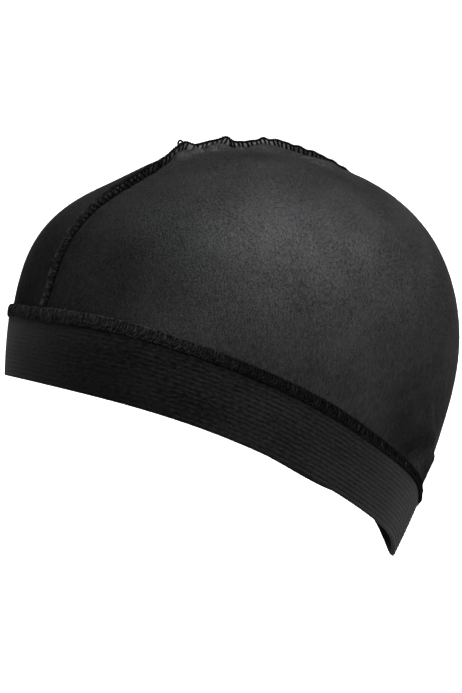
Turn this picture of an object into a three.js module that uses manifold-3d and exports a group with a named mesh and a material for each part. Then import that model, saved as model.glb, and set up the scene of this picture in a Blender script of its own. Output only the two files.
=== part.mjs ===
// Wave cap: a stretch cap of two spandex halves, joined by one raised seam, on a wide ribbed elastic band.
// Millimetres, +Z up. The wearer faces -Y and the wearer's left is +X. The origin is the middle of the
// wearer's head, about which the cap is stretched. Angles run around the head: 0 at the forehead,
// 90 at the left ear, 180 at the nape. Levels run up the cap: 0 at the rim, 1 at the top of the dome.
import * as THREE from "three";
import { mergeVertices } from "three/addons/utils/BufferGeometryUtils.js";
import Module from "manifold-3d";

const wasm = await Module();
wasm.setup();

// Reach of the stretched cap from the middle of the head
const frontReach = 98;
const backReach = 88;
const sideReach = 78;
const crownRise = 108.2;

// Height of the rim's edge: it is worn high on the forehead and low on the nape
const frontRim = 29.7;
const sideRim = -8.7;
const napeRim = -71.6;

// Cloth, band and seams
const clothWall = 1.2;
const bandHeight = 24.2;
const bandWall = 1.8;
const bandProud = 1.3;
const stripHeight = 5;
const stripWall = 2.4;
const stripProud = 1.8;
const seamHeight = 4.2;
const seamWidth = 2.4;
const clearance = 0.3;
const seamEndGap = 0.6;

// How much fuller the ring is than an ellipse: towards the forehead, and towards forehead and nape alike
const foreheadFullness = 0.079;
const cornerFullness = 0.076;

// How fine the faceted walls are
const segmentsAround = 64;
const domeSteps = 18;
const bandSteps = 3;
const seamSteps = 60;

// The dome's outer surface, a row for each level. Out columns are shares of the reach to that side, and
// up columns are shares of the way from the rim to the top.
const domeRows = [
  { level: 0.0, frontOut: 0.965, frontUp: 0.0, backOut: 0.81, backUp: 0.0, sideOut: 0.95, sideUp: 0.0 },
  { level: 0.12, frontOut: 0.93, frontUp: 0.19, backOut: 0.98, backUp: 0.135, sideOut: 0.975, sideUp: 0.13 },
  { level: 0.26, frontOut: 0.855, frontUp: 0.405, backOut: 1.105, backUp: 0.305, sideOut: 1.005, sideUp: 0.3 },
  { level: 0.42, frontOut: 0.745, frontUp: 0.655, backOut: 1.155, backUp: 0.515, sideOut: 0.96, sideUp: 0.505 },
  { level: 0.58, frontOut: 0.57, frontUp: 0.825, backOut: 1.025, backUp: 0.73, sideOut: 0.825, sideUp: 0.715 },
  { level: 0.74, frontOut: 0.357, frontUp: 0.923, backOut: 0.71, backUp: 0.893, sideOut: 0.565, sideUp: 0.878 },
  { level: 0.88, frontOut: 0.17, frontUp: 1.0, backOut: 0.338, backUp: 0.967, sideOut: 0.276, sideUp: 0.972 },
  { level: 1.0, frontOut: 0.0, frontUp: 1.0, backOut: 0.0, backUp: 1.0, sideOut: 0.0, sideUp: 1.0 },
];

// How the cap sits a little turned and tilted on the head, level by level, as shares of sideReach.
// sideBack sets both sides back, turn sets the left back and the right forwards, and lean lifts the left.
// A minus sign does the opposite.
const settleRows = [
  { level: 0.0, sideBack: -0.11, turn: -0.13, lean: 0.105 },
  { level: 0.12, sideBack: -0.125, turn: -0.095, lean: 0.103 },
  { level: 0.26, sideBack: -0.09, turn: -0.005, lean: 0.096 },
  { level: 0.42, sideBack: -0.045, turn: 0.066, lean: 0.083 },
  { level: 0.58, sideBack: -0.012, turn: 0.074, lean: 0.064 },
  { level: 0.74, sideBack: 0.003, turn: 0.051, lean: 0.042 },
  { level: 0.88, sideBack: 0.005, turn: 0.024, lean: 0.02 },
  { level: 1.0, sideBack: 0.0, turn: 0.0, lean: 0.0 },
];

// Where the rim rides up or dips as worn: lifts are shares of rimRide, widths are degrees. It fades upwards.
const rimRide = 20;
const rimRows = [
  { angle: -138, wide: 39, lift: 0.89 },
  { angle: -93, wide: 34, lift: 0.335 },
  { angle: -174, wide: 16, lift: 0.415 },
  { angle: 162, wide: 12, lift: -0.375 },
];
const rimWaveFade = 0.3;

// Soft dents of the cloth, with depths as shares of sideReach
const dentRows = [
  { angle: 127, wide: 10, level: 0.185, tall: 0.042, depth: 0.03 },
  { angle: -146, wide: 16, level: 0.28, tall: 0.07, depth: 0.018 },
];

// The raised seam from the forehead over the top to the nape: its height as a share of seamHeight
const seamRows = [
  { along: 0.0, height: 0.3 },
  { along: 0.1, height: 0.42 },
  { along: 0.2, height: 0.72 },
  { along: 0.3, height: 0.9 },
  { along: 0.36, height: 1.0 },
  { along: 0.39, height: 0.82 },
  { along: 0.44, height: 1.0 },
  { along: 0.49, height: 0.86 },
  { along: 0.55, height: 1.0 },
  { along: 0.63, height: 0.9 },
  { along: 0.8, height: 0.8 },
  { along: 0.92, height: 0.6 },
  { along: 1.0, height: 0.35 },
];

// A smooth curve through one column of a table
function columnCurve(rows, place, column) {
  const count = rows.length;
  const at = rows.map((row) => row[place]);
  const value = rows.map((row) => row[column]);
  const bend = new Array(count).fill(0);
  const ease = new Array(count).fill(0);
  for (let i = 1; i < count - 1; i += 1) {
    const before = at[i] - at[i - 1];
    const after = at[i + 1] - at[i];
    const slopeChange = (value[i + 1] - value[i]) / after - (value[i] - value[i - 1]) / before;
    const pivot = 2 * (before + after) - before * ease[i - 1];
    ease[i] = after / pivot;
    bend[i] = (6 * slopeChange - before * bend[i - 1]) / pivot;
  }
  for (let i = count - 2; i > 0; i -= 1) {
    bend[i] -= ease[i] * bend[i + 1];
  }
  return (x) => {
    let i = 0;
    while (i < count - 2 && x > at[i + 1]) {
      i += 1;
    }
    const width = at[i + 1] - at[i];
    const right = (x - at[i]) / width;
    const left = 1 - right;
    const curved = (left ** 3 - left) * bend[i] + (right ** 3 - right) * bend[i + 1];
    return left * value[i] + right * value[i + 1] + (curved * width * width) / 6;
  };
}

const dome = {};
for (const column of ["frontOut", "frontUp", "backOut", "backUp", "sideOut", "sideUp"]) {
  dome[column] = columnCurve(domeRows, "level", column);
}
const settle = {};
for (const column of ["sideBack", "turn", "lean"]) {
  settle[column] = columnCurve(settleRows, "level", column);
}
const seamProfile = columnCurve(seamRows, "along", "height");

// A smooth bump, 1 at its middle, for the rim's waves and for the dents
function bump(distance, width) {
  return Math.exp(-((distance / width) ** 2));
}

function angleBetween(a, b) {
  return Math.abs(((a - b + 540) % 360) - 180);
}

function rimWave(angle) {
  const shares = rimRows.map((wave) => wave.lift * bump(angleBetween(angle, wave.angle), wave.wide));
  return rimRide * shares.reduce((sum, share) => sum + share, 0);
}

// A point of the dome's outer surface
function domePoint(level, angle) {
  const turnAngle = THREE.MathUtils.degToRad(angle);
  const forward = Math.cos(turnAngle);
  const left = Math.sin(turnAngle);
  const frontY = -frontReach * dome.frontOut(level);
  const backY = backReach * dome.backOut(level);
  const frontZ = frontRim + (crownRise - frontRim) * dome.frontUp(level);
  const backZ = napeRim + (crownRise - napeRim) * dome.backUp(level);
  const sideX = sideReach * dome.sideOut(level);
  const sideZ = sideRim + (crownRise - sideRim) * dome.sideUp(level);
  const middleZ = (frontZ + backZ) / 2;
  const setBack = settle.sideBack(level) * left * left + settle.turn(level) * left;
  const point = new THREE.Vector3(
    sideX * left * (1 + foreheadFullness * forward + cornerFullness * forward * forward),
    (frontY + backY) / 2 + ((frontY - backY) / 2) * forward + sideReach * setBack,
    middleZ + ((frontZ - backZ) / 2) * forward + (sideZ - middleZ) * left * left
      + sideReach * settle.lean(level) * left + rimWave(angle) * bump(level, rimWaveFade),
  );
  for (const dent of dentRows) {
    const nearness = bump(angleBetween(angle, dent.angle), dent.wide) * bump(level - dent.level, dent.tall);
    point.setLength(point.length() - sideReach * dent.depth * nearness);
  }
  return point;
}

// The surface's outward direction, taken just short of the top where the rings close to a point
const probeLevel = 0.004;
const probeAngle = 1;
const highestLevel = 0.985;

function domeNormal(level, angle) {
  const at = Math.min(Math.max(level, probeLevel), highestLevel);
  const upward = domePoint(at + probeLevel, angle).sub(domePoint(at - probeLevel, angle));
  const around = domePoint(at, angle + probeAngle).sub(domePoint(at, angle - probeAngle));
  return around.cross(upward).normalize();
}

function domeOffset(level, angle, offset) {
  return domePoint(level, angle).addScaledVector(domeNormal(level, angle), offset);
}

// The level reached by walking up the surface from the rim
const walkStep = 0.005;

function levelAbove(distance, angle) {
  let level = 0;
  let walked = 0;
  let here = domePoint(0, angle);
  while (level < highestLevel) {
    const next = domePoint(level + walkStep, angle);
    const step = next.distanceTo(here);
    if (walked + step >= distance) {
      return level + (walkStep * (distance - walked)) / step;
    }
    walked += step;
    level += walkStep;
    here = next;
  }
  return level;
}

// A closed skin over rings of points. The end rings are closed by fans, or joined where it is a hoop.
function skinOver(rings, isHoop) {
  const count = rings[0].length;
  const points = rings.flat();
  const faces = [];
  const joins = isHoop ? rings.length : rings.length - 1;
  for (let ring = 0; ring < joins; ring += 1) {
    const lower = ring * count;
    const upper = ((ring + 1) % rings.length) * count;
    for (let i = 0; i < count; i += 1) {
      const next = (i + 1) % count;
      faces.push(lower + i, lower + next, upper + next, lower + i, upper + next, upper + i);
    }
  }
  if (!isHoop) {
    for (const [ring, flipped] of [[0, true], [rings.length - 1, false]]) {
      const middle = new THREE.Vector3();
      rings[ring].forEach((point) => middle.addScaledVector(point, 1 / count));
      points.push(middle);
      for (let i = 0; i < count; i += 1) {
        const a = ring * count + i;
        const b = ring * count + ((i + 1) % count);
        faces.push(...(flipped ? [b, a] : [a, b]), points.length - 1);
      }
    }
  }
  const geometry = new THREE.BufferGeometry().setFromPoints(points);
  geometry.setIndex(enclosedVolume(points, faces) < 0 ? faces.reverse() : faces);
  geometry.computeVertexNormals();
  return geometry;
}

function enclosedVolume(points, faces) {
  let sum = 0;
  const normal = new THREE.Vector3();
  for (let i = 0; i < faces.length; i += 3) {
    normal.crossVectors(points[faces[i + 1]], points[faces[i + 2]]);
    sum += points[faces[i]].dot(normal) / 6;
  }
  return sum;
}

// Booleans
function toSolid(geometry) {
  const bare = geometry.clone();
  bare.deleteAttribute("normal");
  bare.deleteAttribute("uv");
  const merged = mergeVertices(bare);
  return new wasm.Manifold(new wasm.Mesh({
    numProp: 3,
    vertProperties: new Float32Array(merged.getAttribute("position").array),
    triVerts: new Uint32Array(merged.getIndex().array),
  }));
}

function toGeometry(solid) {
  const mesh = solid.getMesh();
  const geometry = new THREE.BufferGeometry();
  geometry.setAttribute("position", new THREE.BufferAttribute(mesh.vertProperties, 3));
  geometry.setIndex(new THREE.BufferAttribute(mesh.triVerts, 1));
  geometry.computeVertexNormals();
  return geometry;
}

// Places up the cap, measured along the surface from the rim: band, strip over its top edge, dome
const stripFoot = bandHeight + clearance;
const stripTop = stripFoot + stripHeight;
const domeFoot = stripTop + clearance;

function anglesAround() {
  return Array.from({ length: segmentsAround }, (_, i) => (360 * i) / segmentsAround);
}

// A hoop of cloth that follows the surface, between two distances up from the rim
function clothHoop(foot, top, proud, wall, steps) {
  const rings = anglesAround().map((angle) => {
    const section = [];
    for (let i = 0; i <= steps; i += 1) {
      section.push([foot + ((top - foot) * i) / steps, proud]);
    }
    for (let i = steps; i >= 0; i -= 1) {
      section.push([foot + ((top - foot) * i) / steps, proud - wall]);
    }
    return section.map(([up, offset]) => domeOffset(levelAbove(up, angle), angle, offset));
  });
  return skinOver(rings, true);
}

// The whole dome as one shell, open below
function domeShell() {
  const angles = anglesAround();
  const feet = angles.map((angle) => levelAbove(domeFoot, angle));
  const ringAt = (share, offset) => angles.map((angle, i) => {
    const level = feet[i] + (highestLevel - feet[i]) * share;
    return domeOffset(level, angle, offset);
  });
  const rings = [];
  for (let i = domeSteps; i >= 0; i -= 1) {
    rings.push(ringAt(i / domeSteps, -clothWall));
  }
  for (let i = 0; i <= domeSteps; i += 1) {
    rings.push(ringAt(i / domeSteps, 0));
  }
  return skinOver(rings, false);
}

// One half of the dome, cut clear of the raised seam
function crownHalf(side) {
  const span = 4 * crownRise;
  const block = new THREE.BoxGeometry(span, span, span);
  block.translate(side * (span / 2 + seamWidth / 2 + clearance), 0, 0);
  return toGeometry(toSolid(domeShell()).intersect(toSolid(block)));
}

// The raised seam stands in the slit between the halves, from the cloth's inner face up
function crownSeam() {
  const frontStart = levelAbove(domeFoot + seamEndGap, 0);
  const backStart = levelAbove(domeFoot + seamEndGap, 180);
  const rings = [];
  for (let i = 0; i <= seamSteps; i += 1) {
    const along = i / seamSteps;
    const isFront = along <= 0.5;
    const start = isFront ? frontStart : backStart;
    const climb = isFront ? 2 * along : 2 * (1 - along);
    const level = start + (1 - start) * climb;
    const angle = isFront ? 0 : 180;
    const foot = domePoint(level, angle);
    const up = domeNormal(level, angle);
    const height = seamHeight * seamProfile(along);
    const halfWidth = seamWidth / 2;
    const section = [
      [-halfWidth, -clothWall],
      [halfWidth, -clothWall],
      [halfWidth, height * 0.7],
      [halfWidth * 0.5, height],
      [-halfWidth * 0.5, height],
      [-halfWidth, height * 0.7],
    ];
    rings.push(section.map(([sideways, offset]) => {
      return foot.clone().addScaledVector(up, offset).setX(sideways);
    }));
  }
  return skinOver(rings, false);
}

// Materials, each with its own colour and finish
function clothMaterial(color, roughness) {
  return new THREE.MeshStandardMaterial({ color, roughness, metalness: 0 });
}

function namedMesh(name, geometry, material) {
  const mesh = new THREE.Mesh(geometry, material);
  mesh.name = name;
  return mesh;
}

const cap = new THREE.Group();
cap.add(namedMesh("crown_left", crownHalf(1), clothMaterial(0x2a2a2c, 0.5)));
cap.add(namedMesh("crown_right", crownHalf(-1), clothMaterial(0x2a2a2c, 0.5)));
cap.add(namedMesh("crown_seam", crownSeam(), clothMaterial(0x1c1c1e, 0.8)));
cap.add(namedMesh(
  "elastic_band",
  clothHoop(0, bandHeight, bandProud, bandWall, bandSteps),
  clothMaterial(0x1a1a1b, 0.85),
));
cap.add(namedMesh(
  "band_seam",
  clothHoop(stripFoot, stripTop, stripProud, stripWall, 1),
  clothMaterial(0x161617, 0.8),
));

export default cap;
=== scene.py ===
# The looks of the wave cap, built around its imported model. Metres, +Z up. The wearer faces -Y, the
# wearer's left is +X, and the origin is the middle of the head. Angles run round the head: 0 at the
# forehead, 90 at the left ear, 180 at the nape. Levels run up the cap: 0 at the rim, 1 at the top.
import math

import bpy
import numpy as np
from mathutils import Matrix


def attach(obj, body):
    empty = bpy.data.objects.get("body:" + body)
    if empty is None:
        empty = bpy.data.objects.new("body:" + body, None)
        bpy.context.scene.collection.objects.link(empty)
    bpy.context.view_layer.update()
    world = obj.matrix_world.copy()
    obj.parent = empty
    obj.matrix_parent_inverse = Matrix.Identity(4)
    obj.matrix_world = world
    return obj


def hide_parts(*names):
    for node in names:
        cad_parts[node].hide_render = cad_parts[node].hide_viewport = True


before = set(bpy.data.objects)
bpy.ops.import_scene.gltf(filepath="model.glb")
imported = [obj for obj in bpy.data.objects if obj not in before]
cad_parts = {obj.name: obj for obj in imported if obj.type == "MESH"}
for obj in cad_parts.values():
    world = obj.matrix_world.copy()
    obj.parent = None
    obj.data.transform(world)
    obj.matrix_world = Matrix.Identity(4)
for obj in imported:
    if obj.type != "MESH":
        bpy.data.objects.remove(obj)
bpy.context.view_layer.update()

TAU = 2 * math.pi
MM = 0.001

# The stretched cap's form, the same as the CAD model's
FRONT_REACH = 98 * MM
BACK_REACH = 88 * MM
SIDE_REACH = 78 * MM
CROWN_RISE = 108.2 * MM
FRONT_RIM = 29.7 * MM
SIDE_RIM = -8.7 * MM
NAPE_RIM = -71.6 * MM
RIM_WAVE_FADE = 0.3
FOREHEAD_FULLNESS = 0.079
CORNER_FULLNESS = 0.076

DOME_COLUMNS = ("front_out", "front_up", "back_out", "back_up", "side_out", "side_up")
DOME_ROWS = {
    0.0: (0.965, 0.0, 0.81, 0.0, 0.95, 0.0),
    0.12: (0.93, 0.19, 0.98, 0.135, 0.975, 0.13),
    0.26: (0.855, 0.405, 1.105, 0.305, 1.005, 0.3),
    0.42: (0.745, 0.655, 1.155, 0.515, 0.96, 0.505),
    0.58: (0.57, 0.825, 1.025, 0.73, 0.825, 0.715),
    0.74: (0.357, 0.923, 0.71, 0.893, 0.565, 0.878),
    0.88: (0.17, 1.0, 0.338, 0.967, 0.276, 0.972),
    1.0: (0.0, 1.0, 0.0, 1.0, 0.0, 1.0),
}
SETTLE_COLUMNS = ("side_back", "turn", "lean")
SETTLE_ROWS = {
    0.0: (-0.11, -0.13, 0.105),
    0.12: (-0.125, -0.095, 0.103),
    0.26: (-0.09, -0.005, 0.096),
    0.42: (-0.045, 0.066, 0.083),
    0.58: (-0.012, 0.074, 0.064),
    0.74: (0.003, 0.051, 0.042),
    0.88: (0.005, 0.024, 0.02),
    1.0: (0.0, 0.0, 0.0),
}
RIM_COLUMNS = ("angle", "wide", "lift_mm")
RIM_ROWS = ((-138, 39, 17.8), (-93, 34, 6.7), (-174, 16, 8.3), (162, 12, -7.5))
DENT_COLUMNS = ("angle", "wide", "level", "tall", "depth")
DENT_ROWS = (
    (127, 10, 0.185, 0.042, 0.03),
    (-146, 16, 0.28, 0.07, 0.018),
)
# The raised seam, by its share of the way from forehead to nape: how high its edge stands, and how high
# the cloth beside it is drawn up
SEAM_COLUMNS = ("edge_mm", "cloth_mm")
SEAM_ROWS = {
    0.0: (1.8, 0.0), 0.1: (2.7, 0.0), 0.2: (3.2, 0.0), 0.239: (3.5, 0.3), 0.254: (3.4, 0.4),
    0.271: (3.9, 1.2), 0.288: (5.4, 2.9), 0.308: (3.4, 1.4), 0.321: (3.8, 1.6), 0.333: (4.4, 2.2),
    0.347: (5.6, 3.3), 0.361: (4.6, 2.0), 0.381: (4.6, 1.7), 0.402: (6.1, 3.6), 0.434: (6.6, 4.2),
    0.456: (5.9, 3.4), 0.489: (5.2, 2.8), 0.546: (4.2, 2.3), 0.62: (3.3, 1.5), 0.72: (2.7, 0.9),
    0.86: (2.4, 0.7), 1.0: (1.2, 0.4),
}

# Small folds of the crown's cloth, seen from above, in millimetres
FOLD_COLUMNS = ("from_x", "from_y", "to_x", "to_y", "wide", "high")
FOLD_ROWS = (
    (1.6, -15.5, 4.6, -10.0, 1.2, 1.5),
    (2.0, -8.5, 5.4, -3.5, 1.2, 1.4),
    (2.0, -1.5, 4.0, 3.5, 1.0, 0.5),
    (2.0, 5.0, 5.4, 9.5, 1.2, 1.4),
    (16.0, 21.0, 25.0, 45.0, 1.7, 1.7),
    (20.0, 24.0, 32.0, 36.0, 1.7, 1.3),
)

# Band and strip, measured up the surface from the rim
BAND_TOP = 24.2 * MM
STRIP_FOOT = 24.5 * MM
STRIP_TOP = 29.5 * MM
CLOTH_FOOT = 26.8 * MM
# How far the strip's foot and its top stray up or down from there
STRAY_COLUMNS = ("angle", "foot_mm", "top_mm")
STRAY_ROWS = (
    (-180, -0.3, -1.5), (-90, 0.0, -0.5), (-30, -0.4, -0.8), (-5, -0.7, -1.3), (5, -0.5, -0.6),
    (15, 0.0, 0.1), (25, 0.5, 0.6), (35, 0.8, 0.9), (45, 0.7, 0.4), (65, 0.7, -0.1), (85, 0.7, -0.3),
    (95, 0.4, -0.5), (105, 0.0, -1.3), (115, -0.4, -1.7), (135, -0.3, -2.1), (150, -0.3, -2.4),
    (180, -0.3, -1.5),
)
BAND_PROUD = 1.3 * MM
BAND_WALL = 1.8 * MM
CLOTH_WALL = 0.8 * MM


def unit(vectors):
    return vectors / np.maximum(np.linalg.norm(vectors, axis=-1, keepdims=True), 1e-12)


def bump(distance, width):
    return np.exp(-((distance / width) ** 2))


def eased(value, start, end):
    """0 before start and 1 past end, with a smooth rise between."""
    share = np.clip((value - start) / (end - start), 0, 1)
    return share * share * (3 - 2 * share)


def table_curves(names, rows):
    """A smooth curve through each named column of a table: a natural cubic spline over its row keys."""
    at = np.array(list(rows))
    steps = np.diff(at)
    count = len(at)
    curves = {}
    for column, name in enumerate(names):
        value = np.array([row[column] for row in rows.values()], dtype=float)
        system = np.eye(count)
        right = np.zeros(count)
        for i in range(1, count - 1):
            system[i, i - 1:i + 2] = steps[i - 1], 2 * (steps[i - 1] + steps[i]), steps[i]
            right[i] = 6 * ((value[i + 1] - value[i]) / steps[i] - (value[i] - value[i - 1]) / steps[i - 1])
        curves[name] = (value, np.linalg.solve(system, right))

    def read(name, place):
        value, bend = curves[name]
        place = np.asarray(place, dtype=float)
        i = np.clip(np.searchsorted(at, place, side="right") - 1, 0, count - 2)
        width = steps[i]
        after = (place - at[i]) / width
        before = 1 - after
        curved = (before ** 3 - before) * bend[i] + (after ** 3 - after) * bend[i + 1]
        return before * value[i] + after * value[i + 1] + curved * width ** 2 / 6
    return read


dome = table_curves(DOME_COLUMNS, DOME_ROWS)
settle = table_curves(SETTLE_COLUMNS, SETTLE_ROWS)
seam_table = table_curves(SEAM_COLUMNS, SEAM_ROWS)


def degrees_between(angle, middle):
    """How far angles in radians are from a middle in degrees, in degrees."""
    return np.abs((np.degrees(angle) - middle + 540) % 360 - 180)


def dome_point(level, angle):
    """Points of the dome's outer surface, for arrays of levels and of angles in radians."""
    level, angle = np.broadcast_arrays(np.asarray(level, dtype=float), np.asarray(angle, dtype=float))
    forward = np.cos(angle)
    left = np.sin(angle)
    front_y = -FRONT_REACH * dome("front_out", level)
    back_y = BACK_REACH * dome("back_out", level)
    front_z = FRONT_RIM + (CROWN_RISE - FRONT_RIM) * dome("front_up", level)
    back_z = NAPE_RIM + (CROWN_RISE - NAPE_RIM) * dome("back_up", level)
    side_x = SIDE_REACH * dome("side_out", level)
    side_z = SIDE_RIM + (CROWN_RISE - SIDE_RIM) * dome("side_up", level)
    middle_z = (front_z + back_z) / 2
    set_back = settle("side_back", level) * left ** 2 + settle("turn", level) * left
    rim_wave = np.zeros_like(angle)
    for row in RIM_ROWS:
        wave = dict(zip(RIM_COLUMNS, row))
        nearness = bump(degrees_between(angle, wave["angle"]), wave["wide"])
        rim_wave = rim_wave + wave["lift_mm"] * MM * nearness
    point = np.stack([
        side_x * left * (1 + FOREHEAD_FULLNESS * forward + CORNER_FULLNESS * forward ** 2),
        (front_y + back_y) / 2 + (front_y - back_y) / 2 * forward + SIDE_REACH * set_back,
        middle_z + (front_z - back_z) / 2 * forward + (side_z - middle_z) * left ** 2
        + SIDE_REACH * settle("lean", level) * left + rim_wave * bump(level, RIM_WAVE_FADE),
    ], axis=-1)
    for row in DENT_ROWS:
        dent = dict(zip(DENT_COLUMNS, row))
        nearness = bump(degrees_between(angle, dent["angle"]), dent["wide"])
        nearness = nearness * bump(level - dent["level"], dent["tall"])
        length = np.linalg.norm(point, axis=-1)
        point = point * ((length - SIDE_REACH * dent["depth"] * nearness) / length)[..., None]
    return point


def dome_frame(level, angle):
    """Points of the dome's outer surface and their outward normals, for arrays of levels and angles."""
    at = np.clip(level, 0.004, 0.985)
    around = unit(dome_point(at, angle + 0.01) - dome_point(at, angle - 0.01))
    upward = unit(dome_point(at + 0.004, angle) - dome_point(at - 0.004, angle))
    return dome_point(level, angle), unit(np.cross(around, upward))


# The level reached by walking up the surface from the rim, worked out once over a grid
WALK_COLUMNS = 720
WALK_REACH = 40 * MM
WALK_ROWS = 200
walk_angles = TAU * np.arange(WALK_COLUMNS) / WALK_COLUMNS
walk_levels = np.linspace(0, 0.45, 300)
walk_steps = np.diff(dome_point(walk_levels[:, None], walk_angles[None]), axis=0)
walked = np.cumsum(np.linalg.norm(walk_steps, axis=-1), axis=0)
walked = np.vstack([np.zeros(WALK_COLUMNS), walked])
walk_grid = np.stack([
    np.interp(np.linspace(0, WALK_REACH, WALK_ROWS), walked[:, i], walk_levels) for i in range(WALK_COLUMNS)
], axis=1)


def level_above(distance, angle):
    """The level at a distance up the surface from the rim, read from the grid."""
    distance, angle = np.broadcast_arrays(np.asarray(distance, dtype=float), np.asarray(angle, dtype=float))
    row = np.clip(distance / WALK_REACH, 0, 1) * (WALK_ROWS - 1)
    column = (angle / TAU) % 1 * WALK_COLUMNS
    low_row = np.minimum(row.astype(int), WALK_ROWS - 2)
    low_column = column.astype(int) % WALK_COLUMNS
    next_column = (low_column + 1) % WALK_COLUMNS
    up = row - low_row
    along = column - np.floor(column)
    lower = walk_grid[low_row, low_column] * (1 - along) + walk_grid[low_row, next_column] * along
    upper = walk_grid[low_row + 1, low_column] * (1 - along) + walk_grid[low_row + 1, next_column] * along
    return lower * (1 - up) + upper * up


def strip_stray(angle, share=1.0):
    """How far the strip strays up or down, at a share of the way from its foot to its top."""
    stray = dict(zip(STRAY_COLUMNS, np.array(STRAY_ROWS).T))
    turn = (np.degrees(angle) + 180) % 360 - 180
    foot = np.interp(turn, stray["angle"], stray["foot_mm"])
    top = np.interp(turn, stray["angle"], stray["top_mm"])
    return (foot + (top - foot) * share) * MM


def ring_place(distance, angle, proud):
    """Points on the cap's lower part, a distance up from the rim and proud of the surface, with normals."""
    share = np.clip((distance - STRIP_FOOT) / (STRIP_TOP - STRIP_FOOT), 0, 1)
    distance = distance + strip_stray(angle, share) * np.clip(distance / BAND_TOP, 0, 1)
    point, normal = dome_frame(level_above(distance, angle), angle)
    return point + normal * proud[..., None], normal


def waves(share, seed, usual_turns):
    """A smooth irregular wave of about -1 to 1, by the share of the way round the cap: a sum of five waves.

    Each has about the usual number of turns. Where that is 1, they have 1 to 5.
    """
    count = 5
    picks = np.random.default_rng(seed)
    total = np.zeros_like(share)
    for i in range(count):
        turns = 1 + i
        if usual_turns > 1:
            turns = usual_turns + picks.integers(-usual_turns // 2, usual_turns // 2 + 1)
        total = total + picks.uniform(0.5, 1) * np.sin(TAU * turns * share + picks.uniform(0, TAU))
    return total / math.sqrt(count)


# Meshes
THREAD_SIDES = 6


def grid_quads(rows, columns, wrap_rows=False, wrap_columns=False):
    """Corner places of the quads of a grid, unwrapped, as arrays of rows and of columns."""
    row, column = np.meshgrid(
        np.arange(rows if wrap_rows else rows - 1),
        np.arange(columns if wrap_columns else columns - 1),
        indexing="ij",
    )
    row = row.ravel()[:, None] + np.array([0, 0, 1, 1])
    column = column.ravel()[:, None] + np.array([0, 1, 1, 0])
    return row, column


def make_piece(name, points, faces, places, material, hides=()):
    """A mesh piece. Places are the UV map: where each corner of each face is on the cloth, in metres."""
    mesh = bpy.data.meshes.new(name)
    mesh.from_pydata(points.reshape(-1, 3).tolist(), [], faces)
    corners = np.zeros((len(mesh.loops), 2))
    corners[:len(places)] = places
    mesh.uv_layers.new(name="cloth").uv.foreach_set("vector", corners.ravel())
    mesh.polygons.foreach_set("use_smooth", [True] * len(mesh.polygons))
    mesh.validate()
    piece = bpy.data.objects.new(name, mesh)
    bpy.context.scene.collection.objects.link(piece)
    mesh.materials.append(material)
    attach(piece, "root")
    if hides:
        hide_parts(*hides)
    return piece


def hoop_piece(name, points, across, along, material, hides=()):
    """A closed hoop: a grid of section rows by columns round the cap, joined both ways."""
    rows, columns, _ = points.shape
    row, column = grid_quads(rows, columns, True, True)
    faces = (row % rows) * columns + column % columns
    places = np.stack([np.append(along, 2 * along[-1] - along[-2])[column], across[row % rows]], axis=-1)
    return make_piece(name, points, faces.tolist(), places.reshape(-1, 2), material, hides)


def thread_piece(name, bundles, material):
    """Round threads in one mesh.

    Each bundle has paths (threads x points x 3), their normals, the radius, and whether they are hoops.
    """
    points, faces, places, caps = [], [], [], []
    base = 0
    sides = THREAD_SIDES
    for paths, normals, radius, closed in bundles:
        threads, steps, _ = paths.shape
        if closed:
            ahead = unit(np.roll(paths, -1, axis=1) - np.roll(paths, 1, axis=1))
        else:
            ahead = unit(np.gradient(paths, axis=1))
        across = unit(np.cross(ahead, normals))
        outward = np.cross(across, ahead)
        turn = TAU * np.arange(sides) / sides
        spokes = across[:, :, None] * np.cos(turn)[:, None] + outward[:, :, None] * np.sin(turn)[:, None]
        points.append((paths[:, :, None] + radius * spokes).reshape(-1, 3))
        length = np.cumsum(np.linalg.norm(np.diff(paths, axis=1), axis=-1), axis=1)
        length = np.concatenate([np.zeros((threads, 1)), length, length[:, -1:] * (1 + 1 / steps)], axis=1)
        step, side = grid_quads(steps, sides, closed, True)
        quads = (step % steps) * sides + side % sides
        offset = base + steps * sides * np.arange(threads)
        faces.extend((offset[:, None, None] + quads[None]).reshape(-1, 4).tolist())
        along = length[:, step]
        round_share = np.broadcast_to(side / sides, along.shape)
        places.append(np.stack([along, round_share * MM], axis=-1).reshape(-1, 2))
        if not closed:
            for thread in offset:
                caps.append(list(range(thread + sides - 1, thread - 1, -1)))
                caps.append(list(range(thread + (steps - 1) * sides, thread + steps * sides)))
        base += threads * steps * sides
    return make_piece(name, np.vstack(points), faces + caps, np.vstack(places), material)


# Materials
# The blue of a cloth's grey, as a share of its red and green
COOL = 1.03


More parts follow.
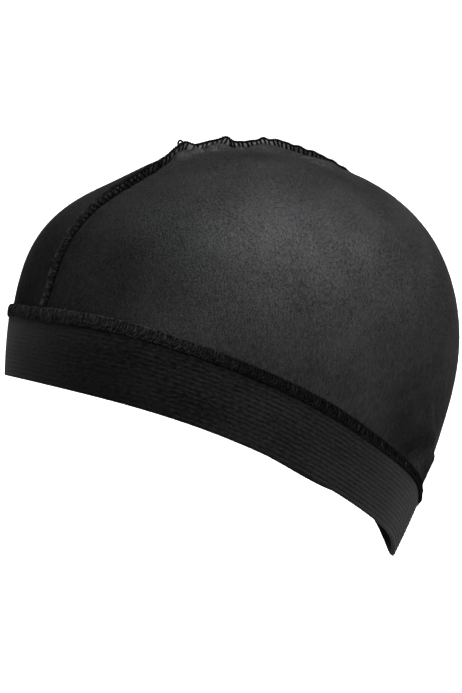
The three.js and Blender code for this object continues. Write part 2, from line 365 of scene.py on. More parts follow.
class Nodes:
    """Short ways to make and join the nodes of one material."""

    def __init__(self, name):
        self.material = bpy.data.materials.new(name)
        self.material.use_nodes = True
        self.nodes = self.material.node_tree.nodes
        self.links = self.material.node_tree.links
        self.shader = self.nodes["Principled BSDF"]

    def put(self, socket, value):
        if isinstance(value, bpy.types.NodeSocket):
            self.links.new(value, socket)
        else:
            socket.default_value = value

    def make(self, kind, inputs=None, **settings):
        node = self.nodes.new(kind)
        for name, value in settings.items():
            setattr(node, name, value)
        for name, value in (inputs or {}).items():
            self.put(node.inputs[name], value)
        return node

    def math(self, operation, *values):
        node = self.make("ShaderNodeMath", operation=operation)
        for socket, value in zip(node.inputs, values):
            self.put(socket, value)
        return node.outputs[0]

    def cloth_place(self):
        """The two parts of the UV map's place on the cloth, in metres."""
        place = self.make("ShaderNodeUVMap", uv_map="cloth").outputs[0]
        first, second, _ = self.make("ShaderNodeSeparateXYZ", {"Vector": place}).outputs
        return first, second

    def object_place(self):
        return self.make("ShaderNodeTexCoord").outputs["Object"]

    def stretched(self, x, y, x_size, y_size, z=0.0):
        """A vector for a noise whose grains are x_size by y_size. Another z gives another pattern."""
        joined = self.make("ShaderNodeCombineXYZ", {
            "X": self.math("DIVIDE", x, x_size), "Y": self.math("DIVIDE", y, y_size), "Z": z,
        })
        return joined.outputs[0]

    def noise(self, vector, scale=1.0, roughness=0.5):
        made = self.make("ShaderNodeTexNoise", {
            "Vector": vector, "Scale": scale, "Detail": 2.0, "Roughness": roughness,
        })
        return made.outputs[0]

    def wave(self, value, length):
        """A sine wave of the given length along a value."""
        return self.math("SINE", self.math("MULTIPLY", value, TAU / length))

    def blend(self, first, first_share, second, second_share):
        """The sum of two values, each times its share."""
        return self.math("ADD", self.math("MULTIPLY", first, first_share),
                         self.math("MULTIPLY", second, second_share))

    def ramp(self, value, low, high, low_to, high_to):
        made = self.make("ShaderNodeMapRange", {
            "Value": value, "From Min": low, "From Max": high, "To Min": low_to, "To Max": high_to,
        })
        return made.outputs[0]

    def grey_mix(self, value, dark, light):
        """A faintly cool grey between two shades."""
        mix = self.make("ShaderNodeMix", data_type="RGBA")
        self.put(mix.inputs[0], value)
        self.put(mix.inputs[6], (dark, dark, dark * COOL, 1))
        self.put(mix.inputs[7], (light, light, light * COOL, 1))
        return mix.outputs[2]

    def satin(self, gloss, sheen=0.0):
        """Gloss that doesn't brighten where the surface is seen edge on, and a sheen of fine fibres."""
        self.shader.inputs["Specular IOR Level"].default_value = 0.0
        self.shader.inputs["Metallic"].default_value = gloss
        self.shader.inputs["Specular Tint"].default_value = (0, 0, 0, 1)
        if sheen:
            self.shader.inputs["Sheen Weight"].default_value = sheen
            self.shader.inputs["Sheen Roughness"].default_value = 0.4

    def relief(self, *layers):
        """Bump layers of (height, depth in metres), the first lowest."""
        normal = None
        for height, depth in layers:
            node = self.make("ShaderNodeBump", {"Height": height, "Distance": depth})
            if normal is not None:
                self.put(node.inputs["Normal"], normal)
            normal = node.outputs[0]
        self.put(self.shader.inputs["Normal"], normal)


# The knit's streaks lean by this angle about this axis, and are this much longer than wide
GRAIN_AXIS = (0.8, -0.56, 0.2)
GRAIN_LEAN = math.radians(22)
GRAIN_DRAW = 3.57
STREAK = 0.8 * MM
GRAIN = 0.55 * MM
PATCH = 24 * MM
WALE = 0.62 * MM
COURSE = 0.5 * MM


def spandex_material(name, dark, light):
    """Satin stretch knit: fine grain, short leaning streaks, and rows of stitches."""
    n = Nodes(name)
    across, along = n.cloth_place()
    place = n.object_place()
    turned = n.make("ShaderNodeVectorRotate", {"Vector": place, "Axis": GRAIN_AXIS, "Angle": GRAIN_LEAN},
                    rotation_type="AXIS_ANGLE").outputs[0]
    x, y, z = n.make("ShaderNodeSeparateXYZ", {"Vector": turned}).outputs
    drawn_z = n.math("DIVIDE", z, GRAIN_DRAW)
    drawn = n.make("ShaderNodeCombineXYZ", {"X": x, "Y": y, "Z": drawn_z}).outputs[0]
    streaks = n.noise(drawn, scale=1 / STREAK, roughness=0.6)
    grain = n.noise(turned, scale=1 / GRAIN, roughness=0.6)
    patches = n.noise(place, scale=1 / PATCH)
    wales = n.math("ADD", n.wave(across, WALE), 1.0)
    courses = n.math("ADD", n.wave(along, COURSE), 1.0)
    stitches = n.math("MULTIPLY", wales, courses)
    texture = n.blend(streaks, 0.45, grain, 0.55)
    tone = n.blend(texture, 0.8, patches, 0.2)
    n.put(n.shader.inputs["Base Color"], n.grey_mix(n.ramp(tone, 0.38, 0.62, 0.0, 1.0), dark, light))
    n.put(n.shader.inputs["Roughness"], n.ramp(texture, 0.35, 0.65, 0.52, 0.44))
    n.satin(0.55, sheen=0.002)
    n.relief((texture, 0.28 * MM), (stitches, 0.01 * MM))
    return n.material


# The raised edge's painted light brightens from its dark shade to its pale one, then falls off again: metres
# along the seam
EDGE_RISE = (0.078, 0.1)
EDGE_FALL = (0.13, 0.145)


def edge_material(name, dark, pale):
    """The raised seam's folded cloth edge with painted light, dark over the forehead and palest where it
    begins to pucker.
    """
    n = Nodes(name)
    along, around = n.cloth_place()
    fibres = n.noise(n.stretched(along, around, 0.7 * MM, 1.6 * MM), roughness=0.6)
    # Painted light: the edge is painted pale in one stretch along the seam
    rise = n.ramp(along, *EDGE_RISE, dark, pale)
    fall = n.ramp(along, *EDGE_FALL, 1.0, 0.3)
    tone = n.math("MULTIPLY", n.math("MULTIPLY", rise, fall), n.ramp(fibres, 0.3, 0.7, 0.6, 1.4))
    n.put(n.shader.inputs["Base Color"], n.grey_mix(tone, 0.0, 1.0))
    n.shader.inputs["Roughness"].default_value = 0.5
    n.satin(0.15)
    n.relief((fibres, 0.1 * MM))
    return n.material


# One ply's twist along a thread, and the plies round it
PLY_TWIST = 0.9 * MM
PLIES = 3
# Painted front light: threads are painted palest over the forehead and darken to this share of their shade
# behind it
PAINTED_SHADE_SHARE = 0.17
FOREHEAD_Y = -0.09
PAINTED_LIGHT_END_Y = -0.045


def thread_material(name, dark, light):
    """Twisted thread: plies that wind round it, fibres, uneven darkness, and painted front light that is
    palest over the forehead.
    """
    n = Nodes(name)
    along, side = n.cloth_place()
    turns = n.math("MULTIPLY_ADD", along, TAU / PLY_TWIST, n.math("MULTIPLY", side, PLIES * TAU / MM))
    plies = n.math("SINE", turns)
    fibres = n.noise(n.stretched(along, side, 0.6 * MM, 0.08 * MM))
    spots = n.noise(n.object_place(), scale=1 / (1.6 * MM))
    tone = n.math("ADD", n.blend(plies, 0.2, spots, 1.5), fibres)
    depth = n.make("ShaderNodeSeparateXYZ", {"Vector": n.object_place()}).outputs["Y"]
    # Painted light: paler over the forehead, darker behind it
    painted_front_light = n.ramp(depth, FOREHEAD_Y, PAINTED_LIGHT_END_Y, 1.0, PAINTED_SHADE_SHARE)
    tone = n.math("MULTIPLY", n.ramp(tone, 0.9, 1.7, 0.0, 1.0), painted_front_light)
    n.put(n.shader.inputs["Base Color"], n.grey_mix(tone, dark, light))
    n.shader.inputs["Roughness"].default_value = 0.6
    n.satin(0.08)
    n.relief((plies, 0.05 * MM), (fibres, 0.03 * MM))
    return n.material


def rib_shade(n, along, across):
    """Painted shade in the grooves between the ribs and painted light on their tops, partly the rubber's own
    darker grooves: none over the forehead and full at the sides and the back.
    """
    turns = n.math("MULTIPLY", n.math("SUBTRACT", across, RIB_FOOT), TAU / RIB_PITCH)
    aside = n.math("ABSOLUTE", n.math("SUBTRACT", along, FOREHEAD_ALONG))
    return n.math("MULTIPLY", n.math("COSINE", turns), n.ramp(aside, 0.1, 0.17, 0.0, 0.07))


def elastic_material(name, dark, light, ribbed):
    """Woven elastic: covered rubber threads with short floats between, matte, with or without painted shade
    and light on its ribs.
    """
    n = Nodes(name)
    along, across = n.cloth_place()
    dashes = n.noise(n.stretched(along, across, 2.2 * MM, 0.9 * MM), roughness=0.6)
    weave = n.math("MULTIPLY", n.wave(along, 0.9 * MM), n.wave(across, 1.38 * MM))
    patches = n.noise(n.stretched(along, across, 30 * MM, 12 * MM, 5.0))
    tone = n.blend(dashes, 0.75, patches, 0.25)
    if ribbed:
        # Painted shade in the rib grooves and painted light on the ribs
        tone = n.math("SUBTRACT", tone, rib_shade(n, along, across))
    n.put(n.shader.inputs["Base Color"], n.grey_mix(n.ramp(tone, 0.32, 0.68, 0.0, 1.0), dark, light))
    n.put(n.shader.inputs["Roughness"], n.ramp(dashes, 0.3, 0.7, 0.6, 0.8))
    n.satin(0.08, sheen=0.036)
    n.relief((dashes, 0.2 * MM), (weave, 0.04 * MM))
    return n.material


RIBS = 14
RIB_DEPTH = 0.13 * MM
RIB_FOOT = 0.35 * MM
RIB_PITCH = (BAND_TOP - 0.55 * MM) / RIBS
# The middle of the forehead, measured along the band from the nape
FOREHEAD_ALONG = 0.26
spandex = spandex_material("spandex_knit", 0.0045, 0.0158)
seam_edge = edge_material("spandex_edge", 0.009, 0.036)
loop_thread = thread_material("overlock_thread", 0.001, 0.021)
# The chain thread is painted paler than the loop thread: painted highlight on the seam's crest and along the
# strip's foot
chain_thread_painted_highlight = thread_material("chain_thread_painted_highlight", 0.0012, 0.026)
# The foot thread is the darkest: a real thread that also stands in for painted shadow beside the raised seam
foot_thread_painted_shadow = thread_material("foot_thread_painted_shadow", 0.001, 0.005)
elastic = elastic_material("ribbed_elastic", 0.0007, 0.0064, True)
strip_cloth = elastic_material("strip_cloth", 0.002, 0.005, False)


# The seam's line over the top, from the strip at the forehead to the strip at the nape
SEAM_POINTS = 700
seam_along = np.linspace(0, 1, SEAM_POINTS)
seam_front = seam_along <= 0.5
seam_angle = np.where(seam_front, 0.0, math.pi)
seam_start = level_above(STRIP_TOP + strip_stray(seam_angle), seam_angle)
seam_climb = np.where(seam_front, 2 * seam_along, 2 * (1 - seam_along))
seam_level = seam_start + (1 - seam_start) * seam_climb
seam_foot = dome_point(seam_level, seam_angle)
seam_foot[:, 0] = 0
seam_reach = np.append(0, np.cumsum(np.linalg.norm(np.diff(seam_foot, axis=0), axis=-1)))
SEAM_LENGTH = seam_reach[-1]
THREADS_OVER = 0.45 * MM


def seam_point(reach):
    return np.stack([np.interp(reach, seam_reach, seam_foot[:, i]) for i in range(3)], axis=-1)


def seam_place(reach, sideways, height):
    """Points by how far they are along the seam, how far to the left of it, and how high over the cloth."""
    reach, sideways, height = np.broadcast_arrays(reach, sideways, height)
    foot = seam_point(reach)
    ahead = seam_point(reach + MM) - seam_point(reach - MM)
    upward = unit(np.stack([np.zeros_like(reach), -ahead[..., 2], ahead[..., 1]], axis=-1))
    point = foot + upward * height[..., None]
    point[..., 0] += sideways
    return point, upward


def fin_height(reach):
    """How high the cloth edge stands: the threads over it take up the rest of the seam's height."""
    ripple = 1 + 0.03 * np.sin(TAU * reach / (9 * MM)) + 0.03 * np.sin(TAU * reach / (6.1 * MM) + 1)
    return seam_table("edge_mm", reach / SEAM_LENGTH) * MM * ripple - THREADS_OVER


def fin_sway(reach, share):
    """How far the raised edge leans to the left, at a share of its height."""
    lean = 0.35 * np.sin(TAU * reach / (37 * MM) + 0.6) + 0.2 * np.sin(TAU * reach / (15 * MM))
    return lean * MM * share


# Crown halves: an outer and an inner face of cloth, from the seam down to behind the strip
CROWN_ALONG = 330
CROWN_DOWN = 145


def crown_grid(side):
    """Levels and angles of one half, in rows from the seam down and columns from forehead to nape."""
    across = np.linspace(1, -1, CROWN_ALONG)[None]
    down = np.linspace(0, 1, CROWN_DOWN)[:, None]
    down = 0.35 * down + 0.65 * down ** 2
    flat_x = across * np.sqrt(1 - down ** 2 / 2)
    flat_y = down * np.sqrt(1 - across ** 2 / 2)
    angle = side * np.arctan2(flat_y, flat_x)
    reach = np.clip(np.hypot(flat_x, flat_y), 0, 1)
    foot = level_above(CLOTH_FOOT + strip_stray(angle), angle)
    return foot + (1 - foot) * (1 - reach), angle


def fold_relief(place):
    """Narrow raised folds along the lines of FOLD_ROWS, which run out at both ends."""
    total = np.zeros(place.shape[:-1])
    for row in FOLD_ROWS:
        fold = dict(zip(FOLD_COLUMNS, row))
        run_x = fold["to_x"] - fold["from_x"]
        run_y = fold["to_y"] - fold["from_y"]
        length = math.hypot(run_x, run_y)
        x = place[..., 0] / MM - fold["from_x"]
        y = place[..., 1] / MM - fold["from_y"]
        along = (x * run_x + y * run_y) / length
        across = (x * run_y - y * run_x) / length
        ends = eased(np.minimum(along, length - along), 0, 0.35 * length)
        total = total + fold["high"] * MM * bump(across, fold["wide"]) * ends
    return total * (place[..., 2] > 0)


# A diagonal fold at the wearer's left back. Its middle is at FOLD_ANGLE, FOLD_ABOVE the strip.
FOLD_ANGLE = 139.5
FOLD_ABOVE = 12 * MM
FOLD_SLOPE = math.radians(36)
CREASE_HIGH = 4.2 * MM
CREASE_WIDE = 2.0 * MM
CREASE_LONG = 15 * MM
POCKET_DEEP = 6.0 * MM
# One degree round the cap's back, about, and one whole level up it
DEGREE_RUN = 1.3 * MM
LEVEL_RUN = 215 * MM


def back_fold(angle, above):
    """The fold behind the ear: its raised crease, and the pocket drawn in before it, over the strip."""
    behind = ((np.degrees(angle) - FOLD_ANGLE + 180) % 360 - 180) * DEGREE_RUN
    higher = above - FOLD_ABOVE
    across = behind * math.sin(FOLD_SLOPE) + higher * math.cos(FOLD_SLOPE)
    along = behind * math.cos(FOLD_SLOPE) - higher * math.sin(FOLD_SLOPE)
    crease = CREASE_HIGH * bump(across, CREASE_WIDE) * bump(along, CREASE_LONG)
    pocket_long = eased(behind, -38 * MM, -14 * MM) * eased(behind, 5 * MM, -1 * MM)
    pocket_tall = eased(above, 17 * MM, 3 * MM) * eased(above, -2.5 * MM, 0)
    return crease - POCKET_DEEP * pocket_long * pocket_tall


def crown_relief(place, level, angle, reach, away):
    """How far the cloth stands over the smooth dome: a raised foot at the seam, puckers, gathers, folds."""
    share = reach / SEAM_LENGTH
    lift = seam_table("cloth_mm", share) * MM * bump(away, 4.5 * MM)
    pucker = np.sin(TAU * reach / (7.3 * MM) + 2.1 * np.sin(TAU * reach / (61 * MM)))
    pucker = pucker + 0.6 * np.sin(TAU * reach / (11.7 * MM) + 1.3)
    strength = 0.35 + 0.65 * bump(share - 0.5, 0.24)
    puckers = 0.16 * MM * strength * pucker * bump(away - 3 * MM, 4.5 * MM)
    above = (level - level_above(STRIP_TOP + strip_stray(angle), angle)) * LEVEL_RUN
    gather = np.sin(angle * 97 + 2 * np.sin(angle * 13)) + 0.6 * np.sin(angle * 143 + 1)
    gathers = 0.05 * MM * gather * bump(above, 10 * MM)
    slow = np.sin(5 * angle + 9 * level) + 0.8 * np.sin(9 * angle - 14 * level + 2)
    undulation = 0.18 * MM * slow * bump(level - 0.35, 0.25)
    return lift + puckers + gathers + undulation + fold_relief(place) + back_fold(angle, above)


def crown_half(side, name, node):
    """One half of the crown as a closed sheet. Side is 1 for the wearer's left and -1 for the right."""
    level, angle = crown_grid(side)
    base = dome_point(level, angle)
    away = np.abs(base[..., 0])
    seam_steps = np.linalg.norm(np.diff(base[0], axis=0), axis=-1)
    reach = np.broadcast_to(np.append(0, np.cumsum(seam_steps))[None], away.shape)
    base[..., 0] += side * 0.4 * MM * bump(away, 3 * MM)
    down = np.gradient(base, axis=0)
    along = np.gradient(base, axis=1)
    normal = unit(np.cross(down, along)) * side
    normal[:, [0, -1]] = normal[:, [1, -2]]
    outer = base + normal * crown_relief(base, level, angle, reach, away)[..., None]
    inner = outer - normal * CLOTH_WALL
    rows, columns = level.shape
    row, column = grid_quads(rows, columns)
    front = row * columns + column
    count = rows * columns
    back = front[:, ::-1] + count
    corner = np.arange(count).reshape(rows, columns)
    border = np.concatenate([corner[0, :-1], corner[:-1, -1], corner[-1, :0:-1], corner[:0:-1, 0]])
    after = np.roll(border, -1)
    rim = np.stack([after, border, border + count, after + count], axis=-1)
    if side > 0:
        front, back, rim = front[:, ::-1], back[:, ::-1], rim[:, ::-1]
    faces = np.vstack([front, back, rim])
    steps_down = np.linalg.norm(np.diff(base, axis=0), axis=-1)
    from_seam = np.cumsum(np.vstack([np.zeros(columns), steps_down]), axis=0)
    flat = np.stack([reach, from_seam], axis=-1).reshape(-1, 2)
    places = flat[faces.ravel() % count]
    points = np.concatenate([outer, inner])
    return make_piece(name, points, faces.tolist(), places, spandex, [node])


crown_left = crown_half(1, "crown_left_cloth", "crown_left")
crown_right = crown_half(-1, "crown_right_cloth", "crown_right")


# The ribbed elastic band
BAND_COLUMNS = 520
band_angles = TAU * np.arange(BAND_COLUMNS) / BAND_COLUMNS + math.pi


def ring_along(angles, distance):
    """How far each angle is along a ring at a distance up from the rim."""
    points = ring_place(distance, angles, np.zeros(len(angles)))[0]
    return np.append(0, np.cumsum(np.linalg.norm(np.diff(points, axis=0), axis=-1)))


def band_section():
    """Columns of the band's section: how far up, how far proud, and 1 in a groove to -1 on a rib."""
    rows = [(0.02, 0.1, 0), (0.0, 0.62, 0), (0.1, 1.0, 0)]
    face = BAND_PROUD / MM - 0.17
    inner = (BAND_PROUD - BAND_WALL) / MM
    for rib in np.arange(RIBS * 6 + 1) / 6:
        rows.append(((RIB_FOOT + rib * RIB_PITCH) / MM, face, math.cos(TAU * rib)))
    rows += [(BAND_TOP / MM, 0.8, 0), (BAND_TOP / MM, -0.1, 0)]
    for rib in np.arange(RIBS * 2, -1, -1) / 2:
        rows.append(((RIB_FOOT + rib * RIB_PITCH) / MM, inner + 0.12 * math.cos(TAU * rib / 2), 0))
    return (np.array(rows) * [MM, MM, 1]).T[:, :, None]


band_up, band_proud, band_groove = band_section()
band_wave = 0.12 * MM * waves(band_angles / TAU, 11, 1)
# The ribs are drawn flat over the forehead and stand out at the sides and the back
rib_depth = RIB_DEPTH * np.interp(degrees_between(band_angles, 0), [30, 95], [0.3, 1.15])
band_points = ring_place(band_up, band_angles[None], band_proud + band_wave - band_groove * rib_depth)[0]
band_along = ring_along(band_angles, BAND_TOP / 2)
elastic_band = hoop_piece("elastic_band_ribbed", band_points, band_up[:, 0], band_along,
                          elastic, ["elastic_band"])

# The strip where crown and elastic are joined, and the overlock threads over it. Its foot is sewn into the
# band. Its section has columns for the distance up from the rim and how far proud, in millimetres.
STRIP_COLUMNS = 520
STRIP_SECTION = (
    (23.9, 0.0), (23.9, 0.4), (24.5, 0.5), (24.5, 0.8), (24.7, 1.1), (25.4, 1.3), (26.8, 1.35),
    (28.2, 1.25), (29.0, 0.85), (29.4, 0.35), (29.4, -0.4), (28.7, -0.9), (25.6, -0.9),
)
# The section's point at the middle of its face
STRIP_MIDDLE = 6
strip_up, strip_proud = np.array(STRIP_SECTION).T[:, :, None] * MM
strip_angles = TAU * np.arange(STRIP_COLUMNS) / STRIP_COLUMNS + math.pi
strip_wave = 0.1 * MM * waves(strip_angles / TAU, 5, 40) * (strip_proud > 0)
strip_points = ring_place(strip_up, strip_angles[None], strip_proud + strip_wave)[0]
hoop_piece("band_seam_strip", strip_points, strip_up[:, 0], ring_along(strip_angles, STRIP_FOOT),
           strip_cloth, ["band_seam"])

chooser = np.random.default_rng(2024)
strip_steps = strip_points[STRIP_MIDDLE] - np.roll(strip_points[STRIP_MIDDLE], 1, axis=0)
STRIP_LENGTH = float(np.linalg.norm(strip_steps, axis=-1).sum())
LOOP_PITCH = 1.4 * MM
LOOPS = round(STRIP_LENGTH / LOOP_PITCH)
LOOP_LIFT = 0.16 * MM
CHAIN_RADIUS = 0.16 * MM
CHAIN_LIFT = 0.02 * MM
# Where threads lie on the strip: up from the rim, and how far proud
THREAD_UP = np.array([23.7, 24.3, 24.7, 25.4, 26.8, 28.2, 29.2, 29.7, 30.4]) * MM
THREAD_PROUD = np.array([1.25, 1.3, 1.35, 1.45, 1.5, 1.4, 1.1, 0.65, 0.25]) * MM


def strip_loops(slant, foot, top, radius, lift, jitter):
    """Threads up the strip's face, one for each stitch, each leaning and wandering a little."""
    steps = np.linspace(0, 1, 12)[None]
    start = np.arange(LOOPS)[:, None] + chooser.normal(0, jitter, (LOOPS, 1))
    lean = slant + chooser.normal(0, 0.18, (LOOPS, 1))
    bow = chooser.normal(0.12, 0.12, (LOOPS, 1))
    foot = foot + chooser.normal(0, 0.18, (LOOPS, 1)) * MM
    top = top + chooser.normal(0, 0.32, (LOOPS, 1)) * MM
    distance = foot + (top - foot) * steps
    angle = TAU * (start + lean * steps + bow * np.sin(math.pi * steps)) / LOOPS + math.pi
    rise = np.interp(distance, THREAD_UP, THREAD_PROUD) + lift + chooser.normal(0, 0.13, (LOOPS, 1)) * MM
    paths, normals = ring_place(distance, angle, rise)
    return paths, normals, radius, False


def strip_chain(distance, swing, phase):
    """A thread that runs round the cap and winds in and out over the strip's edge."""
    steps = LOOPS * 6
    place = np.arange(steps) / steps
    wind = TAU * LOOPS * place + phase
    up = distance + swing * np.cos(wind)
    rise = np.interp(up, THREAD_UP, THREAD_PROUD) + CHAIN_LIFT + CHAIN_RADIUS * np.sin(wind)
    paths, normals = ring_place(up, TAU * place + math.pi, rise)
    return paths[None], normals[None], CHAIN_RADIUS, True


thread_piece("band_seam_threads", [
    strip_loops(-0.75, 25.7 * MM, 29.4 * MM, 0.3 * MM, LOOP_LIFT, 0.11),
    strip_loops(0.1, 24.7 * MM, 29.1 * MM, 0.15 * MM, -0.12 * MM, 0.3),
], loop_thread)
# The strip's foot row carries painted highlight in its paler thread
thread_piece("band_seam_foot", [
    strip_loops(0.6, 24.4 * MM, 26.2 * MM, 0.27 * MM, LOOP_LIFT, 0.13),
], chain_thread_painted_highlight)
thread_piece("band_seam_chains", [
    strip_chain(29.3 * MM, 0.35 * MM, 0.0),
    strip_chain(29.3 * MM, 0.35 * MM, math.pi),
    strip_chain(24.6 * MM, 0.3 * MM, 0.0),
], loop_thread)

# The raised seam over the top: its folded cloth edge, and the overlock threads round it
FIN_STEPS = 420
FIN_HALF = 0.7 * MM
# From its right foot over the top to its left: how far across, and its share of the height
FIN_SECTION = np.array([
    (-1.0, -0.25), (-0.95, 0.35), (-0.85, 0.7), (-0.55, 0.93), (0.0, 1.0),
    (0.55, 0.93), (0.85, 0.7), (0.95, 0.35), (1.0, -0.25),
])
fin_reach = np.linspace(0, SEAM_LENGTH, FIN_STEPS)


def fin_point(reach, across, share, outset=0.0):
    """Points on the raised edge, or set out from it: across from -1 to 1 on the left, by share of height."""
    height = fin_height(reach)
    sideways = across * (FIN_HALF + outset) + fin_sway(reach, np.maximum(share, 0))
    return seam_place(reach, sideways, share * height + outset * np.maximum(0, share - 0.6) * 2)


def seam_edge_piece():
    points = fin_point(fin_reach[:, None], FIN_SECTION[None, :, 0], FIN_SECTION[None, :, 1])[0]
    rows, columns, _ = points.shape
    row, column = grid_quads(rows, columns, False, True)
    faces = (row * columns + column % columns)[:, ::-1].tolist()
    faces.append(list(range(columns)))
    faces.append(list(range(rows * columns - 1, (rows - 1) * columns - 1, -1)))
    places = np.stack([fin_reach[row], column * 0.9 * MM], axis=-1)[:, ::-1].reshape(-1, 2)
    make_piece("crown_seam_edge", points, faces, places, seam_edge, ["crown_seam"])


seam_edge_piece()

WRAP_PITCH = 2.2 * MM
WRAPS = int(SEAM_LENGTH / WRAP_PITCH) - 1


def seam_wraps(slant, radius, jitter, first, last):
    """Threads over the raised edge, from one foot to the other, between two shares of the seam's length."""
    chosen = np.arange(WRAPS)
    chosen = chosen[(chosen >= first * WRAPS) & (chosen < last * WRAPS)]
    turn = np.linspace(0, 1, 26)[None]
    across = np.clip(1.25 - 2.5 * turn, -1, 1)
    across = np.where(np.abs(across) < 1, np.sin(across * math.pi / 2), across)
    share = np.interp(0.5 - np.abs(turn - 0.5), [0, 0.12, 0.38, 0.5], [-0.02, 0.25, 0.86, 1.0])
    start = (chosen[:, None] + 0.5) * WRAP_PITCH + chooser.normal(0, jitter, (len(chosen), 1)) * MM
    lean = (slant + chooser.normal(0, 0.08, (len(chosen), 1))) * fin_height(start) * (1 - share)
    reach = np.clip(start + lean, 0.2 * MM, SEAM_LENGTH - 0.2 * MM)
    paths, upward = fin_point(reach, across, share, radius)
    sideways = np.array([1.0, 0, 0]) * (across * (1 - share ** 2 * 0.9))[..., None]
    return paths, unit(upward * share[..., None] ** 2 + sideways), radius, False


def seam_line(across, share, swing, radius, phase, outset):
    """A thread along the seam that winds as it goes."""
    reach = np.linspace(0.3 * MM, SEAM_LENGTH - 0.3 * MM, WRAPS * 6)
    wind = TAU * reach / WRAP_PITCH + phase
    paths, upward = fin_point(reach, across + swing / FIN_HALF * np.cos(wind), share, outset)
    paths = paths + upward * (0.5 * swing * np.sin(wind))[:, None]
    return paths[None], upward[None], radius, False


EAR_REACH = 0.2865 * SEAM_LENGTH
EAR_SIZE = 0.9 * MM


def seam_ear():
    """An open loop of thread that stands up from the raised edge over the forehead."""
    turn = TAU * np.arange(20) / 20
    height = fin_height(EAR_REACH) + EAR_SIZE * (0.75 + 1.05 * np.sin(turn))
    paths = seam_place(EAR_REACH - 0.6 * MM + EAR_SIZE * np.cos(turn), 0.2 * MM, height)[0]
    normals = np.zeros_like(paths)
    normals[:, 0] = 1
    return paths[None], normals[None], 0.47 * MM, True


thread_piece("crown_seam_wraps", [
    seam_wraps(0.6, 0.34 * MM, 0.15, 0, 0.22),
    seam_wraps(-0.9, 0.38 * MM, 0.15, 0.22, 0.36),
    seam_wraps(0.6, 0.38 * MM, 0.15, 0.35, 0.43),
    seam_wraps(0.2, 0.42 * MM, 0.1, 0.43, 1),
    seam_wraps(-0.5, 0.26 * MM, 0.3, 0, 0.25),
], loop_thread)
# Threads along the seam's feet; the thick dark one on the left foot also stands in for the shadow beside the
# raised edge: painted shadow
thread_piece("crown_seam_foot", [
    seam_line(1.25, 0.05, 0.12 * MM, 0.4 * MM, 0.0, 0.3 * MM),
    seam_line(-1.15, 0.05, 0.12 * MM, 0.24 * MM, 0.0, 0.25 * MM),
], foot_thread_painted_shadow)
# The crest threads carry painted highlight in their paler thread
thread_piece("crown_seam_chains", [
    seam_line(0.0, 1.0, 0.45 * MM, 0.38 * MM, 0.0, 0.3 * MM),
    seam_line(0.0, 1.0, 0.45 * MM, 0.38 * MM, math.pi, 0.3 * MM),
    seam_ear(),
], chain_thread_painted_highlight)

# Studio: a pale floor well below the worn cap
FLOOR_HEIGHT = -0.6
FLOOR_REACH = 150
FLOOR_GREY = 0.6
floor_corners = [
    (x * FLOOR_REACH, y * FLOOR_REACH, FLOOR_HEIGHT) for x, y in ((-1, -1), (1, -1), (1, 1), (-1, 1))
]
floor_mesh = bpy.data.meshes.new("floor")
floor_mesh.from_pydata(floor_corners, [], [(0, 1, 2, 3)])
floor = bpy.data.objects.new("floor", floor_mesh)
bpy.context.scene.collection.objects.link(floor)
floor_nodes = Nodes("studio_floor")
floor_nodes.shader.inputs["Base Color"].default_value = (FLOOR_GREY, FLOOR_GREY, FLOOR_GREY, 1)
floor_nodes.shader.inputs["Roughness"].default_value = 0.9
floor_nodes.shader.inputs["Specular IOR Level"].default_value = 0.0
floor_mesh.materials.append(floor_nodes.material)

# The camera stands off the wearer's left front, a little above, rolled slightly
CAMERA_AZIMUTH = math.radians(55.204)
CAMERA_ELEVATION = math.radians(12.735)
CAMERA_ROLL = math.radians(-2.466)
CAMERA_DISTANCE = 0.946
CAMERA_LENS = 119.4
LOOK_RIGHT = -0.182 * MM
LOOK_UP = 26.786 * MM
back = np.array([
    math.sin(CAMERA_AZIMUTH) * math.cos(CAMERA_ELEVATION),
    -math.cos(CAMERA_AZIMUTH) * math.cos(CAMERA_ELEVATION),
    math.sin(CAMERA_ELEVATION),
])
level_right = np.array([math.cos(CAMERA_AZIMUTH), math.sin(CAMERA_AZIMUTH), 0])
level_up = np.cross(back, level_right)
right = level_right * math.cos(CAMERA_ROLL) + level_up * math.sin(CAMERA_ROLL)
up = -level_right * math.sin(CAMERA_ROLL) + level_up * math.cos(CAMERA_ROLL)
place = right * LOOK_RIGHT + up * LOOK_UP + back * CAMERA_DISTANCE
camera_data = bpy.data.cameras.new("camera")
camera_data.lens = CAMERA_LENS
camera_data.sensor_width = 36
camera_data.clip_start = 0.01
camera_data.clip_end = 200
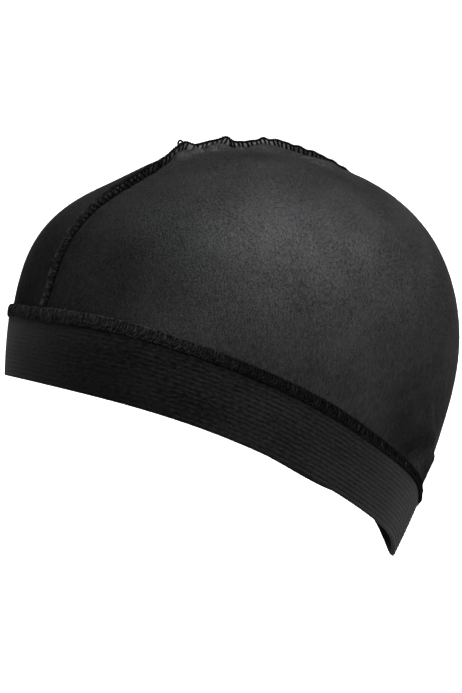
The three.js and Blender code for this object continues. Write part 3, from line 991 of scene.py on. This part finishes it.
camera = bpy.data.objects.new("camera", camera_data)
matrix = Matrix.Identity(4)
for i in range(3):
    matrix[i][0], matrix[i][1], matrix[i][2], matrix[i][3] = right[i], up[i], back[i], place[i]
camera.matrix_world = matrix
bpy.context.scene.collection.objects.link(camera)
bpy.context.scene.camera = camera


# Three soft lights: one overhead, one broad and near from the upper right, and one from the right
CAP_MIDDLE = np.array([0.0, 0.0, 0.03])


def aimed_light(name, kind, direction, energy, distance=0.0):
    """A light that shines at the cap from a direction given as shares of camera right, up and back."""
    data = bpy.data.lights.new(name, kind)
    data.energy = energy
    light = bpy.data.objects.new(name, data)
    toward = unit(right * direction[0] + up * direction[1] + back * direction[2])
    sideways = unit(np.cross(back, toward))
    turned = Matrix(np.stack([sideways, np.cross(toward, sideways), toward], axis=1).tolist())
    light.rotation_mode = "QUATERNION"
    light.rotation_quaternion = turned.to_quaternion()
    light.location = CAP_MIDDLE + toward * distance
    bpy.context.scene.collection.objects.link(light)
    return data


overhead = aimed_light("overhead", "SUN", (0.15, 0.97, 0.1), 9.2)
overhead.angle = math.radians(40)
key = aimed_light("key", "AREA", (0.56, 0.7, 0.44), 17.5, 0.9)
key.size = 0.6
side = aimed_light("side", "SUN", (0.9, 0.42, 0.05), 5.6)
side.angle = math.radians(30)

# The room is pale near the horizon, behind the floor's edge, and dim overhead
world = bpy.data.worlds.new("studio")
world.use_nodes = True
sky = world.node_tree
sky_place = sky.nodes.new("ShaderNodeTexCoord")
sky_parts = sky.nodes.new("ShaderNodeSeparateXYZ")
sky_shade = sky.nodes.new("ShaderNodeMapRange")
sky.links.new(sky_place.outputs["Generated"], sky_parts.inputs[0])
sky.links.new(sky_parts.outputs["Z"], sky_shade.inputs["Value"])
for socket, value in (("From Min", 0.1), ("From Max", 0.35), ("To Min", 1.0), ("To Max", 0.1)):
    sky_shade.inputs[socket].default_value = value
sky.links.new(sky_shade.outputs[0], sky.nodes["Background"].inputs["Color"])
bpy.context.scene.world = world
bpy.context.scene.view_settings.view_transform = "Standard"
